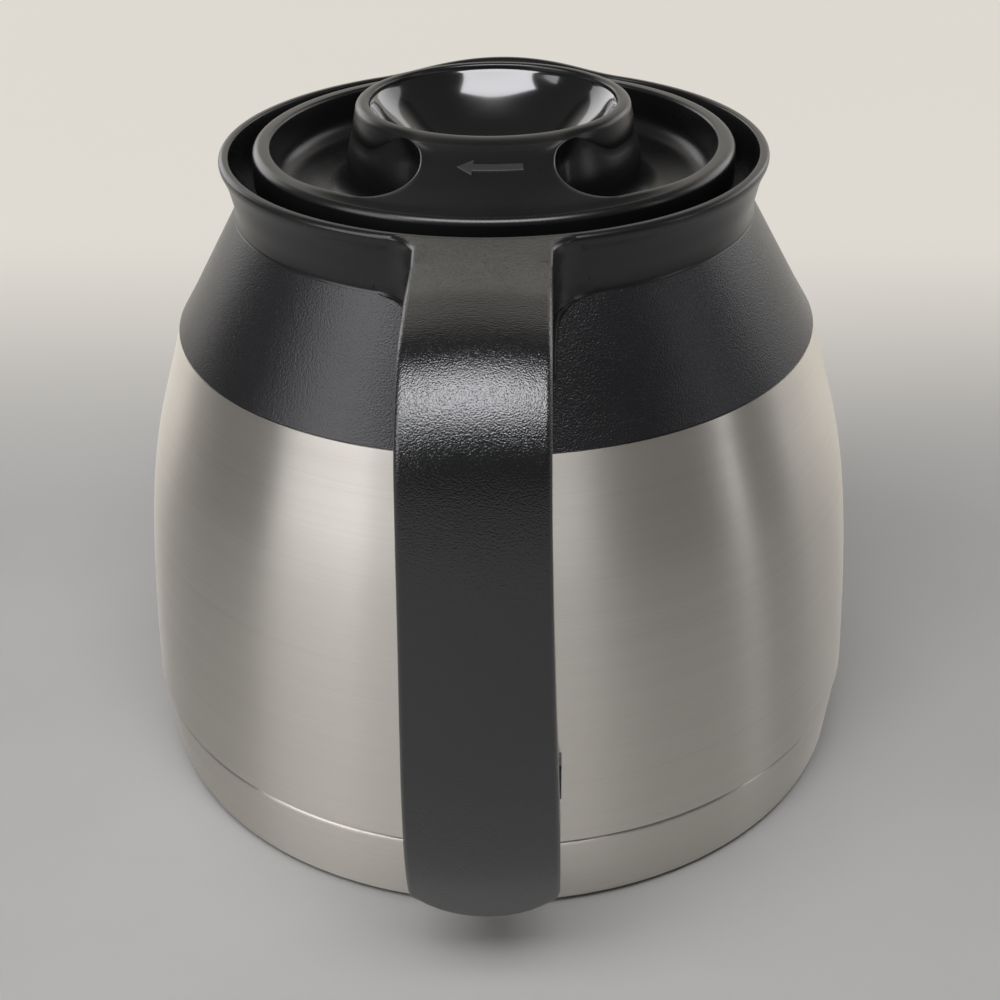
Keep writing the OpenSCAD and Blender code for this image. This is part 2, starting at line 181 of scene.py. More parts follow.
def pick(place: Point) -> None:
    """Selects the vertex in edit mode that lies at a place in millimetres."""
    bpy.ops.mesh.select_all(action="DESELECT")
    data = bpy.context.object.data
    mesh = bmesh.from_edit_mesh(data)
    for vertex in mesh.verts:
        if (vertex.co / MM - Vector(place)).length < SAME_PLACE:
            vertex.select = True
    mesh.select_flush_mode()
    bmesh.update_edit_mesh(data)


def shift_each(move: Callable[[Vector], Vector]) -> None:
    """Moves every vertex in edit mode to where move puts it, in millimetres."""
    data = bpy.context.object.data
    mesh = bmesh.from_edit_mesh(data)
    for vertex in mesh.verts:
        vertex.co = move(vertex.co / MM) * MM
    bmesh.update_edit_mesh(data)


def close_up(piece: Piece, crease: float) -> Piece:
    """Merges doubles, drops loose edges, turns the faces outwards and shades the piece smooth.

    Args:
        piece: The piece in edit mode.
        crease: Angle in degrees past which an edge stays sharp.

    Returns:
        The same piece.
    """
    bpy.ops.mesh.select_all(action="SELECT")
    bpy.ops.mesh.remove_doubles(threshold=WELD * MM)
    bpy.ops.mesh.delete_loose()
    bpy.ops.mesh.select_all(action="SELECT")
    bpy.ops.mesh.normals_make_consistent(inside=False)
    bpy.ops.object.mode_set(mode="OBJECT")
    bpy.ops.object.shade_smooth_by_angle(angle=math.radians(crease))
    return piece


def spun(name: str, outline: Sequence[Flat], steps: int,
         soft: Sequence[tuple[Flat, float]] = ()) -> Piece:
    """Turns an outline of radius and height about the body's axis and stays in edit mode.

    Args:
        name: Name of the new piece.
        outline: Closed outline, as pairs of radius and height.
        steps: Number of steps in the full turn.
        soft: Corners that are rounded first, each with how far back the rounding starts.

    Returns:
        The piece, in edit mode.
    """
    piece = begin_wire(name, [(radius, 0, height) for radius, height in outline])
    for (radius, height), back in soft:
        pick((radius, 0, height))
        bpy.ops.mesh.bevel(affect="VERTICES", offset=back * MM, segments=6, profile=0.5)
    bpy.ops.mesh.select_all(action="SELECT")
    bpy.ops.mesh.spin(steps=steps, angle=math.tau, center=(0, 0, 0), axis=(0, 0, 1))
    return piece


def skinned(name: str, rings: Sequence[Sequence[Point]]) -> Piece:
    """Extrudes a ring of vertices from station to station, and stays in edit mode.

    Args:
        name: Name of the new piece.
        rings: The stations, each a closed ring with the same number of points.

    Returns:
        The piece, in edit mode, open at both ends and with its last ring selected.
    """
    piece = begin_wire(name, rings[0])
    for ring in rings[1:]:
        bpy.ops.mesh.extrude_region_move()
        lay_selected(ring)
    return piece


def drawn_through(name: str, rings: Sequence[Sequence[Point]]) -> Piece:
    """Skins a row of rings, caps both ends and stays in edit mode."""
    piece = skinned(name, rings)
    bpy.ops.mesh.edge_face_add()
    bpy.ops.mesh.select_all(action="DESELECT")
    mesh = bmesh.from_edit_mesh(piece.data)
    mesh.verts.ensure_lookup_table()
    for vertex in mesh.verts[: len(rings[0])]:
        vertex.select = True
    mesh.select_flush_mode()
    bmesh.update_edit_mesh(piece.data)
    bpy.ops.mesh.edge_face_add()
    return piece


def patch(name: str, rows: Sequence[Sequence[Point]]) -> Piece:
    """Adds a grid and lays it on rows of points, as many in each row."""
    deselect_all()
    bpy.ops.mesh.primitive_grid_add(
        x_subdivisions=len(rows[0]) - 1, y_subdivisions=len(rows) - 1, size=MM
    )
    piece = bpy.context.object
    piece.name = piece.data.name = name
    bpy.ops.object.mode_set(mode="EDIT")
    bpy.ops.mesh.select_all(action="SELECT")
    lay_selected([point for row in rows for point in row])
    bpy.ops.object.mode_set(mode="OBJECT")
    return piece


def joined(pieces: Sequence[Piece], crease: float) -> Piece:
    """Joins pieces into the first, welds their seams and shades the result smooth."""
    deselect_all()
    for piece in pieces:
        piece.select_set(True)
    bpy.context.view_layer.objects.active = pieces[0]
    bpy.ops.object.join()
    bpy.ops.object.mode_set(mode="EDIT")
    return close_up(pieces[0], crease)


# ---- finishes


def linear(code: str) -> tuple[float, float, float, float]:
    """Returns the linear colour of an sRGB hex code such as "c0ffee"."""
    parts = [int(code[i : i + 2], 16) / 255 for i in (0, 2, 4)]
    red, green, blue = (
        part / 12.92 if part <= 0.04045 else ((part + 0.055) / 1.055) ** 2.4 for part in parts
    )
    return red, green, blue, 1.0


def add_node(
    tree: bpy.types.NodeTree,
    kind: str,
    settings: dict[str, object] | None = None,
    inputs: dict[str | int, object] | None = None,
) -> bpy.types.Node:
    """Adds one shader node.

    Args:
        tree: The tree that gets the node.
        kind: The node's type.
        settings: Values of the node's own properties.
        inputs: Values of its sockets, or the sockets of other nodes that feed them.

    Returns:
        The new node.
    """
    node = tree.nodes.new(kind)
    for key, value in (settings or {}).items():
        setattr(node, key, value)
    for key, value in (inputs or {}).items():
        if isinstance(value, bpy.types.NodeSocket):
            tree.links.new(value, node.inputs[key])
        else:
            node.inputs[key].default_value = value
    return node


def begin_material(name: str) -> tuple[bpy.types.Material, bpy.types.NodeTree, bpy.types.Node]:
    """Returns a new material, its tree and its surface shader."""
    material = bpy.data.materials.new(name)
    material.use_nodes = True
    tree = material.node_tree
    return material, tree, tree.nodes["Principled BSDF"]


def tint(tree: bpy.types.NodeTree, shader: bpy.types.Node, hex_colour: str,
         pattern: bpy.types.NodeSocket, tones: Flat, span: Flat = (0.3, 0.7)) -> None:
    """Lets a pattern darken and lighten the base colour.

    Args:
        tree: The material's tree.
        shader: Its surface shader.
        hex_colour: The colour, as an sRGB hex code.
        pattern: The socket that gives the pattern.
        tones: What the colour is multiplied by at the pattern's low and high end.
        span: Values of the pattern at those ends.
    """
    tone = add_node(tree, "ShaderNodeMapRange", inputs={
        "Value": pattern, "From Min": span[0], "From Max": span[1],
        "To Min": tones[0], "To Max": tones[1]})
    colour = add_node(tree, "ShaderNodeVectorMath", {"operation": "SCALE"}, {
        0: linear(hex_colour)[:3], "Scale": tone.outputs[0]})
    tree.links.new(colour.outputs[0], shader.inputs["Base Color"])


def dress(pieces: Iterable[Piece], material: bpy.types.Material) -> None:
    """Gives each piece that one material."""
    for piece in pieces:
        piece.data.materials.clear()
        piece.data.materials.append(material)


@dataclass(frozen=True)
class BrushedSheet:
    """Stainless sheet, brushed around the body on a lathe.

    The fine level lines spread a reflection upwards and downwards, so the eye sees soft upright
    streaks of light and dark, and the lines themselves only up close.
    """

    name: str
    hex_colour: str
    roughness: float
    spread: float
    # a real line is about 0.05 mm wide; it is drawn wider so that it shows
    line_mm: float = 0.2
    streak_mm: float = 110.0
    relief_mm: float = 0.002

    def build(self) -> bpy.types.Material:
        """Returns the node material."""
        material, tree, shader = begin_material(self.name)
        place = add_node(tree, "ShaderNodeTexCoord").outputs["Object"]
        level = 1 / (self.streak_mm * MM)
        upright = 1 / (self.line_mm * MM)
        lines = add_node(tree, "ShaderNodeMapping", inputs={
            "Vector": place, "Scale": (level, level, upright)})
        fine = add_node(tree, "ShaderNodeTexNoise", inputs={
            "Vector": lines.outputs[0], "Scale": 1.0, "Detail": 3.0, "Roughness": 0.6})
        broad_map = add_node(tree, "ShaderNodeMapping", inputs={
            "Vector": place, "Scale": (level * 0.5, level * 0.5, upright / 9)})
        broad = add_node(tree, "ShaderNodeTexNoise", inputs={
            "Vector": broad_map.outputs[0], "Scale": 1.0, "Detail": 2.0, "Roughness": 0.5})
        both = add_node(tree, "ShaderNodeMath", {"operation": "MULTIPLY_ADD"}, {
            0: broad.outputs["Fac"], 1: 0.35, 2: fine.outputs["Fac"]})
        tint(tree, shader, self.hex_colour, both.outputs[0], (0.95, 1.03), (0.4, 0.95))
        rough = add_node(tree, "ShaderNodeMapRange", inputs={
            "Value": both.outputs[0], "From Min": 0.35, "From Max": 1.0,
            "To Min": self.roughness + 0.03, "To Max": self.roughness - 0.03})
        tree.links.new(rough.outputs[0], shader.inputs["Roughness"])
        bump = add_node(tree, "ShaderNodeBump", inputs={
            "Strength": 0.35, "Distance": self.relief_mm * MM, "Height": fine.outputs["Fac"]})
        tree.links.new(bump.outputs[0], shader.inputs["Normal"])
        around = add_node(tree, "ShaderNodeTangent", {"direction_type": "RADIAL", "axis": "Z"})
        tree.links.new(around.outputs[0], shader.inputs["Tangent"])
        shader.inputs["Metallic"].default_value = 1.0
        shader.inputs["Anisotropic"].default_value = self.spread
        shader.inputs["Anisotropic Rotation"].default_value = 0.25
        return material


@dataclass(frozen=True)
class MouldedPlastic:
    """Injection-moulded black plastic with the grain that its mould was given.

    A coarse grain breaks a highlight into specks, a fine one only softens it, and a polished
    mould leaves a mirror with the faint ripple of the flow.
    """

    name: str
    hex_colour: str
    roughness: float
    grain_mm: float
    relief_mm: float
    strength: float
    cells: bool = False
    ior: float = 1.5
    coat: float = 0.0
    haze_mm: float = 22.0

    def build(self) -> bpy.types.Material:
        """Returns the node material."""
        material, tree, shader = begin_material(self.name)
        place = add_node(tree, "ShaderNodeTexCoord").outputs["Object"]
        scale = 1 / (self.grain_mm * MM)
        fine = add_node(tree, "ShaderNodeTexNoise", inputs={
            "Vector": place, "Scale": scale, "Detail": 2.0, "Roughness": 0.55})
        height = fine.outputs["Fac"]
        if self.cells:
            pebbles = add_node(tree, "ShaderNodeTexVoronoi", {"feature": "SMOOTH_F1"}, {
                "Vector": place, "Scale": scale, "Smoothness": 0.6})
            both = add_node(tree, "ShaderNodeMath", {"operation": "MULTIPLY_ADD"}, {
                0: pebbles.outputs["Distance"], 1: -0.7, 2: height})
            height = both.outputs[0]
        haze = add_node(tree, "ShaderNodeTexNoise", inputs={
            "Vector": place, "Scale": 1 / (self.haze_mm * MM), "Detail": 3.0, "Roughness": 0.5})
        tint(tree, shader, self.hex_colour, haze.outputs["Fac"], (0.88, 1.14))
        rough = add_node(tree, "ShaderNodeMapRange", inputs={
            "Value": haze.outputs["Fac"], "From Min": 0.3, "From Max": 0.7,
            "To Min": self.roughness * 0.92, "To Max": self.roughness * 1.08})
        tree.links.new(rough.outputs[0], shader.inputs["Roughness"])
        bump = add_node(tree, "ShaderNodeBump", inputs={
            "Strength": self.strength, "Distance": self.relief_mm * MM, "Height": height})
        tree.links.new(bump.outputs[0], shader.inputs["Normal"])
        shader.inputs["IOR"].default_value = self.ior
        shader.inputs["Coat Weight"].default_value = self.coat
        shader.inputs["Coat Roughness"].default_value = self.roughness * 0.5
        return material


@dataclass(frozen=True)
class CastSilicone:
    """Grey translucent silicone rubber, cast in a satin mould, a little milky at its edges."""

    name: str
    hex_colour: str
    roughness: float = 0.45
    cloud_mm: float = 5.0
    relief_mm: float = 0.02
    milk_mm: float = 1.5

    def build(self) -> bpy.types.Material:
        """Returns the node material."""
        material, tree, shader = begin_material(self.name)
        place = add_node(tree, "ShaderNodeTexCoord").outputs["Object"]
        cloud = add_node(tree, "ShaderNodeTexNoise", inputs={
            "Vector": place, "Scale": 1 / (self.cloud_mm * MM), "Detail": 2.0})
        tint(tree, shader, self.hex_colour, cloud.outputs["Fac"], (0.9, 1.05))
        bump = add_node(tree, "ShaderNodeBump", inputs={
            "Strength": 0.2, "Distance": self.relief_mm * MM, "Height": cloud.outputs["Fac"]})
        tree.links.new(bump.outputs[0], shader.inputs["Normal"])
        shader.inputs["Roughness"].default_value = self.roughness
        shader.inputs["Subsurface Weight"].default_value = 0.15
        shader.inputs["Subsurface Scale"].default_value = self.milk_mm * MM
        return material


@dataclass(frozen=True)
class BareMetal:
    """Metal without a direction in its surface, such as zinc plate or electropolished steel.

    It gives an even, slightly cloudy gloss.
    """

    name: str
    hex_colour: str
    roughness: float
    cloud_mm: float

    def build(self) -> bpy.types.Material:
        """Returns the node material."""
        material, tree, shader = begin_material(self.name)
        place = add_node(tree, "ShaderNodeTexCoord").outputs["Object"]
        cloud = add_node(tree, "ShaderNodeTexNoise", inputs={
            "Vector": place, "Scale": 1 / (self.cloud_mm * MM), "Detail": 4.0})
        tint(tree, shader, self.hex_colour, cloud.outputs["Fac"], (0.9, 1.05))
        rough = add_node(tree, "ShaderNodeMapRange", inputs={
            "Value": cloud.outputs["Fac"], "From Min": 0.3, "From Max": 0.7,
            "To Min": self.roughness * 0.85, "To Max": self.roughness * 1.15})
        tree.links.new(rough.outputs[0], shader.inputs["Roughness"])
        shader.inputs["Metallic"].default_value = 1.0
        return material


class Slot(Enum):
    """Material slots of the record, each with the finish that it gets here."""

    BRUSHED_STEEL = "brushed_steel"
    INNER_STEEL = "inner_steel"
    GRAINED_BLACK = "grained_black"
    SATIN_BLACK = "satin_black"
    GLOSS_BLACK = "gloss_black"
    FOOT_RUBBER = "foot_rubber"
    SILICONE = "silicone"
    PLATED_STEEL = "plated_steel"


# the handle's plastic has a higher IOR than ABS really has, to catch the light as brightly
FINISHES = {
    Slot.BRUSHED_STEEL: BrushedSheet("brushed stainless", "d6d1c8", 0.36, 0.95),
    Slot.INNER_STEEL: BareMetal("electropolished stainless", "c2beb8", 0.22, 6),
    Slot.GRAINED_BLACK: MouldedPlastic(
        "pebble-grained ABS", "0b0b0c", 0.21, 0.28, 0.062, 1.0, cells=True, ior=1.76),
    Slot.SATIN_BLACK: MouldedPlastic("satin ABS", "0d0d0d", 0.28, 0.3, 0.004, 0.3, ior=1.54),
    Slot.GLOSS_BLACK: MouldedPlastic(
        "polished ABS", "090909", 0.14, 9, 0.01, 0.05, ior=1.54, coat=1.0),
    Slot.FOOT_RUBBER: MouldedPlastic("foot rubber", "171717", 0.7, 0.4, 0.03, 0.5),
    Slot.SILICONE: CastSilicone("grey silicone", "b4b6b6"),
    Slot.PLATED_STEEL: BareMetal("zinc-plated steel", "c9cacd", 0.28, 2),
}


# the cone has the finer of the two grains that share a slot in the record
FINE_GRAIN = MouldedPlastic(
    "fine-grained polypropylene", "131315", 0.29, 0.33, 0.05, 1.0, cells=True, ior=1.54)


# the arrow is spark-eroded into the mould, so it is duller and a little paler than its ground
ARROW_GRAIN = MouldedPlastic("spark-textured ABS", "232323", 0.5, 0.2, 0.03, 1.0)


@dataclass
class Workshop:
    """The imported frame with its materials, handed to every sub-assembly."""

    nodes: dict[str, Piece]
    materials: dict[Slot, bpy.types.Material]

    def mount(self, piece: Piece, body: str, slot: Slot, *stands_for: str) -> None:
        """Dresses a new piece and fastens it to a body.

        Args:
            piece: The finished piece.
            body: Name of the body that it moves with.
            slot: The finish that it gets.
            stands_for: CAD nodes that it takes the place of.
        """
        dress([piece], self.materials[slot])
        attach(piece, body)
        if stands_for:
            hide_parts(*stands_for)
        LOG.info("%s: %d faces on %s", piece.name, len(piece.data.polygons), body)

    def keep(self, slot: Slot, *names: str) -> None:
        """Keeps the shape of CAD nodes and gives them a finish."""
        dress([self.nodes[name] for name in names], self.materials[slot])
        LOG.info("kept from the frame in %s: %s", slot.value, ", ".join(names))


# ---- sub-assemblies


@dataclass
class Vessel:
    """The double-walled steel flask with the cup that closes it below."""

    body_r: float = 78.0
    seam_z: float = 17.4
    base_r: float = 76.2
    shoulder_r: float = 65.3
    shoulder_z: float = 95.8
    neck_r: float = 42.0
    lip_z: float = 109.6
    sheet: float = 0.6
    pad_r: float = 74.4
    hem_z: float = 1.2

    def wall_curve(self, steps: int = 56) -> list[Flat]:
        """Returns the outline of the steel wall from the seam up to the shoulder."""
        return bezier([
            (self.body_r, self.seam_z), (self.body_r - 2.6, self.seam_z + 55.9),
            (self.shoulder_r + 5.9, self.shoulder_z - 21.7), (self.shoulder_r, self.shoulder_z),
        ], steps)

    def wall(self) -> Piece:
        """Returns the outer wall, with its edge at the seam turned in."""
        curve = self.wall_curve()
        outside = [point for point in curve
                   if self.seam_z + 0.9 < point[1] < self.shoulder_z - 0.01]
        low = (self.body_r - 0.02, self.seam_z + 0.3)
        neck = [(self.shoulder_r - 2.9, self.shoulder_z + 0.2), (57, 104.8), (54, 105.6),
                (44.5, 105.6), (self.neck_r + 0.5, 106), (self.neck_r, 106.6),
                (self.neck_r, self.lip_z - self.sheet - 0.1)]
        inner_neck = [(r - self.sheet, z - (self.sheet if z < 106.3 else 0)) for r, z in neck[1:]]
        inside = [(r - self.sheet, z) for r, z in outside[:-1]]
        outline = [
            (low[0] - self.sheet, low[1]), low, *outside, (self.shoulder_r - 0.05, self.shoulder_z),
            *neck, *reversed(inner_neck), (self.shoulder_r - 3.6, self.shoulder_z - 0.6),
            (self.shoulder_r - 1.8, self.shoulder_z - 0.6), *reversed(inside),
        ]
        return close_up(spun("steel_wall", outline, 240, [(low, 0.3)]), 35)

    def base(self) -> Piece:
        """Returns the base cup with its rolled hem and the bead that the wall slides over."""
        hem, seam, r = self.hem_z, self.seam_z, self.body_r
        outline = [
            (0, 4.6), (16, 4.6), (17.5, 2.0), (self.pad_r + 0.2, 2.0),
            (self.pad_r + 0.4, hem + 0.2), (self.pad_r + 0.7, hem), (self.base_r - 0.7, hem),
            (self.base_r - 0.2, hem + 0.2), (self.base_r, hem + 0.8),
            (r - 0.38, seam - 1.3), (r - 0.42, seam - 0.75), (r - 0.65, seam - 0.4),
            (r - 1.0, seam - 0.3), (r - 1.0, seam + 3.2), (r - 1.5, seam + 3.2),
            (r - 1.5, seam - 1.2), (self.base_r - self.sheet, hem + 1.6), (self.pad_r - 0.6, 2.6),
            (18, 2.6), (16.5, 5.2), (0, 5.2),
        ]
        return close_up(spun("base_cup_band", outline, 240), 50)

    def build(self, shop: Workshop) -> None:
        """Builds and dresses the whole flask."""
        shop.mount(self.wall(), "carafe", Slot.BRUSHED_STEEL, "outer_shell")
        shop.mount(self.base(), "carafe", Slot.BRUSHED_STEEL, "base_cup")
        shop.keep(Slot.INNER_STEEL, "inner_flask")
        shop.keep(Slot.PLATED_STEEL, "getter")
        shop.keep(Slot.SATIN_BLACK, "vacuum_cap")
        shop.keep(Slot.FOOT_RUBBER, "foot_pad")


@dataclass
class Collar:
    """The black shoulder cone and the flared pouring rim above it."""

    crease_z: float = 119.1
    crease_r: float = 52.05
    rim_z: float = 131.2
    rim_r: float = 54.3
    shoulder_r: float = 65.3
    shoulder_z: float = 95.8
    rim_edge: float = 1.3
    wall_mm: float = 2.4
    throat_r: float = 48.9
    floor_z: float = 113.0
    spout_reach: float = 9.6
    spout_half: float = 30.0

    def flare(self) -> list[Flat]:
        """Returns the outside of the rim as pairs of radius and height."""
        r, z = self.crease_r, self.crease_z
        return [(r, z), (r - 0.28, z + 0.6), (r - 0.35, z + 2.4), (r + 0.15, z + 5.0),
                (r + 0.85, z + 8.0), (self.rim_r - 0.35, self.rim_z - 1.6)]

    def rounding(self) -> list[Flat]:
        """Returns the rim's rounded upper edge as pairs of radius and height."""
        back = self.rim_edge
        return [(self.rim_r - r * back, self.rim_z - z * back)
                for r, z in ((0.213, 0.977), (0.207, 0.6), (0.355, 0.286), (0.633, 0.075), (1, 0))]

    def radius(self, height: float) -> float:
        """Returns the collar's outer radius at a height."""
        if height < self.crease_z:
            slope = (self.shoulder_r - self.crease_r) / (self.crease_z - self.shoulder_z)
            return self.crease_r + (self.crease_z - height) * slope
        return along([(z, r) for r, z in [*self.flare(), *self.rounding()]], height)

    def cone(self) -> Piece:
        """Returns the shoulder cone with its thin lower lip on the steel."""
        low_r, low_z = self.shoulder_r, self.shoulder_z
        outline = [
            (low_r - 0.05, low_z + 0.35), (low_r - 0.3, low_z + 0.05),
            (low_r - self.wall_mm, low_z + 0.2), (self.crease_r - self.wall_mm, self.crease_z),
            (self.crease_r, self.crease_z), (self.crease_r + 3.4, self.crease_z - 6),
            (self.crease_r + 6.8, self.crease_z - 12), (self.crease_r + 10.2, self.crease_z - 18),
        ]
        return close_up(spun("shoulder_cone_skin", outline, 180), 35)

    def swell(self, off: float, height: float) -> float:
        """Returns how far the spout pulls the rim out.

        Args:
            off: Angle from the spout's middle, in degrees.
            height: Height above the table.

        Returns:
            The distance in millimetres, 0 away from the spout.
        """
        if abs(off) >= self.spout_half:
            return 0.0
        rise = min(max((height - self.crease_z) / (self.rim_z - self.crease_z), 0), 1)
        sideways = math.cos(math.radians(90 * off / self.spout_half)) ** 2
        return self.spout_reach * sideways * rise**1.3

    def rim(self) -> Piece:
        """Returns the pouring rim: spun round, then pulled out into the spout."""
        outer = flowing(self.flare(), 3)
        top_r, top_z = self.rim_r, self.rim_z
        inner = flowing([(top_r - 2.2, top_z - 0.5), (top_r - 2.9, top_z - 3.7),
                         (top_r - 3.9, top_z - 7.2), (top_r - 5.1, top_z - 10.2),
                         (top_r - 6.9, top_z - 12.7), (top_r - 7.5, top_z - 14.7)], 3)
        edge = (top_r, top_z)
        lip = (top_r - 2.15, top_z)
        outline = [(self.throat_r, self.floor_z), (self.throat_r, self.crease_z),
                   *[(r, z + (0.02 if z <= self.crease_z else 0)) for r, z in outer],
                   edge, lip, *inner[1:], (top_r - 7.5, self.floor_z)]
        piece = spun("pouring_rim", outline, 240, [(edge, self.rim_edge), (lip, 0.4)])

        def pull(place: Vector) -> Vector:
            """Moves one point of the rim out with the spout."""
            off = math.degrees(math.atan2(place.x, place.y))
            radius = math.hypot(place.x, place.y)
            share = (radius + self.swell(off, place.z)) / radius
            return Vector((place.x * share, place.y * share, place.z))

        shift_each(pull)
        return close_up(piece, 50)

    def build(self, shop: Workshop) -> None:
        """Builds and dresses the collar with the throat inside it."""
        cone = self.cone()
        shop.mount(cone, "carafe", Slot.GRAINED_BLACK, "shoulder_cone")
        dress([cone], FINE_GRAIN.build())
        shop.mount(self.rim(), "carafe", Slot.SATIN_BLACK, "pour_rim")
        shop.keep(Slot.GLOSS_BLACK, "bayonet_throat")
        shop.keep(Slot.SILICONE, "neck_gasket")
        shop.keep(Slot.SATIN_BLACK, "retaining_ring")


@dataclass
class Handle:
    """The strap handle, faired into the collar above and screwed to the body below."""

    collar: Collar
    # outer face y and z, inner face y and z, and width, from the collar down
    stations: tuple[tuple[float, ...], ...] = (
        (-57.5, 131.2, -61.5, 109.8, 23.9),
        (-65.0, 131.1, -67.0, 115.0, 23.8),
        (-77.0, 130.7, -75.5, 118.4, 23.7),
        (-91.0, 127.2, -84.4, 116.4, 23.7),
        (-100.9, 117.4, -90.2, 109.0, 23.7),
        (-104.6, 104.0, -92.6, 99.0, 23.9),
        (-105.6, 85.0, -93.4, 83.0, 24.6),
        (-105.3, 65.0, -93.2, 64.0, 25.7),
        (-103.8, 48.0, -91.8, 48.5, 26.7),
        (-100.4, 31.0, -87.6, 35.0, 27.4),
        (-94.3, 15.2, -82.4, 22.9, 27.4),
    )
    span_steps: int = 8
    crown: float = 0.9
    edge_r: float = 1.1
    inner_edge_r: float = 1.2
    # how many rows of the strap its lower corners stand back, and the rounding of that end
    end_back: float = 3.7
    end_r: float = 1.0
    # radius in plan of the fairing into the collar, by height
    fairing: tuple[Flat, ...] = (
        (106, 1.2), (112.2, 1.3), (113.7, 1.6), (115, 2.0), (116.2, 2.8), (117.4, 4.1),
        (118.4, 6.8), (118.8, 9.9), (119.05, 13.2), (120, 12.8), (122, 11.2), (125, 9.3),
        (128, 8.2), (131.2, 7.6))
    # heights of the points down the root's side, close together where the fairing ends
    root_levels: tuple[Flat, ...] = ((0, 130), (0.27, 120.3), (0.77, 116.8), (1, 108.4))
    root_steps: int = 16
    side_points: int = 34
    # how deep the fairing starts below the collar's surface
    sunk_mm: float = 0.08
    # the first row of the strap after the fairing
    first_row: int = 5

    def section(self, half: float, depth: float, edge: float, crown: float,
                sides: Sequence[float] = ()) -> list[Flat]:
        """Returns the strap's outline at one station.

        Args:
            half: Half of the strap's width.
            depth: Thickness of the strap there.
            edge: Rounding of the outer edges.
            crown: Rise of the outer face towards its middle.
            sides: Depths of the points down each side; evenly spaced if left out.

        Returns:
            Pairs of distance across and depth below the outer face, all the way round.
        """
        face = [(u * (half - edge) / 6, crown * (u / 6) ** 2) for u in range(-5, 6)]
        # the mould's parting line runs down the middle as a fine raised thread
        face[5:6] = [(-0.25, 0.0), (-0.08, 0.0), (0.0, -0.012), (0.08, 0.0), (0.25, 0.0)]
        shoulder = []
        for step in range(7):
            angle = math.radians(90 * step / 6)
            shoulder.append((half - edge + edge * math.sin(angle),
                             crown + edge - edge * math.cos(angle)))
        low, r = depth, self.inner_edge_r
        top = crown + edge
        even = [mix(top, low - r, step / self.side_points)
                for step in range(1, self.side_points + 1)]
        side = [(half, down) for down in sides or even]
        turn = []
        for step in range(1, 5):
            angle = math.radians(90 * step / 4)
            turn.append((half - r + r * math.cos(angle), low - r + r * math.sin(angle)))
        right = [*shoulder, *side, *turn]
        bottom = [(half - 3.2, low), (half * 0.3, low)]
        mirrored = [(-u, d) for u, d in reversed([*right, *bottom])]
        return [*face, *right, *bottom, *mirrored]

    def at(self, station: Sequence[float], across: float, depth: float) -> Point:
        """Returns the place of a point of the strap at a station."""
        outer, inner = Vector(station[0:2]), Vector(station[2:4])
        place = outer + (inner - outer).normalized() * depth
        return across, place.x, place.y

    def ring(self, station: Sequence[float], edge: float) -> list[Point]:
        """Returns the closed ring of points round the strap at a station."""
        return [self.at(station, across, down) for across, down in self.outline(station, edge)]

    def outline(self, station: Sequence[float], edge: float) -> list[Flat]:
        """Returns the strap's outline at a station."""
        depth = (Vector(station[2:4]) - Vector(station[0:2])).length
        return self.section(station[4] / 2, depth, edge, self.crown)

    def fairing_place(self, across: float, height: float, half: float, share: float) -> Point:
        """Returns a point of the root, on its way from the collar to the strap.

        Args:
            across: Distance from the middle that the point has on the strap.
            height: Height of the point.
            half: Half of the strap's width.
            share: 0 on the collar, 1 where the strap's own side begins.

        Returns:
            The place of the point.
        """
        collar_r = self.collar.radius(height) - self.sunk_mm
        fillet = along(self.fairing, height)
        reach = collar_r + fillet
        centre_x = half + fillet
        centre_y = -math.sqrt(reach**2 - centre_x**2)
        start = math.atan2(-centre_y, -centre_x)
        angle = mix(start, math.pi, share)
        edge_x = centre_x + fillet * math.cos(angle)
        edge_y = centre_y + fillet * math.sin(angle)
        x = across / half * edge_x
        bulge = math.sqrt(collar_r**2 - x**2) - math.sqrt(collar_r**2 - edge_x**2)
        return x, edge_y - bulge * (1 - share), height

    def root_rings(self) -> list[list[Point]]:
        """Returns the rings of the fairing, from the collar out to the first station."""
        station = self.stations[0]
        half, top, low = station[4] / 2, station[1] - 0.03, station[3] - 3.3
        sides = [top - along(self.root_levels, step / self.side_points)
                 for step in range(1, self.side_points + 1)]
        rings = []
        for step in range(self.root_steps + 1):
            share = step / self.root_steps
            edge = mix(0.8, self.edge_r, share)
            outline = self.section(half, top - low, edge, 0.0, sides)
            rings.append([self.fairing_place(across, top - down, half, share)
                          for across, down in outline])
        return rings

    def strap(self) -> Piece:
        """Returns the strap with its fairing, drawn from the collar to the bowed lower end."""
        rows = flowing(self.stations, self.span_steps)
        rings = self.root_rings()
        last = len(rows) - 1
        for row in rows[self.first_row:last - self.span_steps]:
            rings.append(self.ring(row, self.edge_r))
        for step in range(self.span_steps + 1):
            rings.append(self.bowed(rows, step / self.span_steps, 0.0))
        for step in range(1, 5):
            rings.append(self.bowed(rows, 1.0, math.radians(90 * step / 4)))
        for closing in (0.3, 0.65, 0.97):
            rings.append(self.bowed(rows, 1.0, math.pi / 2, closing))
        return close_up(drawn_through("handle_strap", rings), 35)

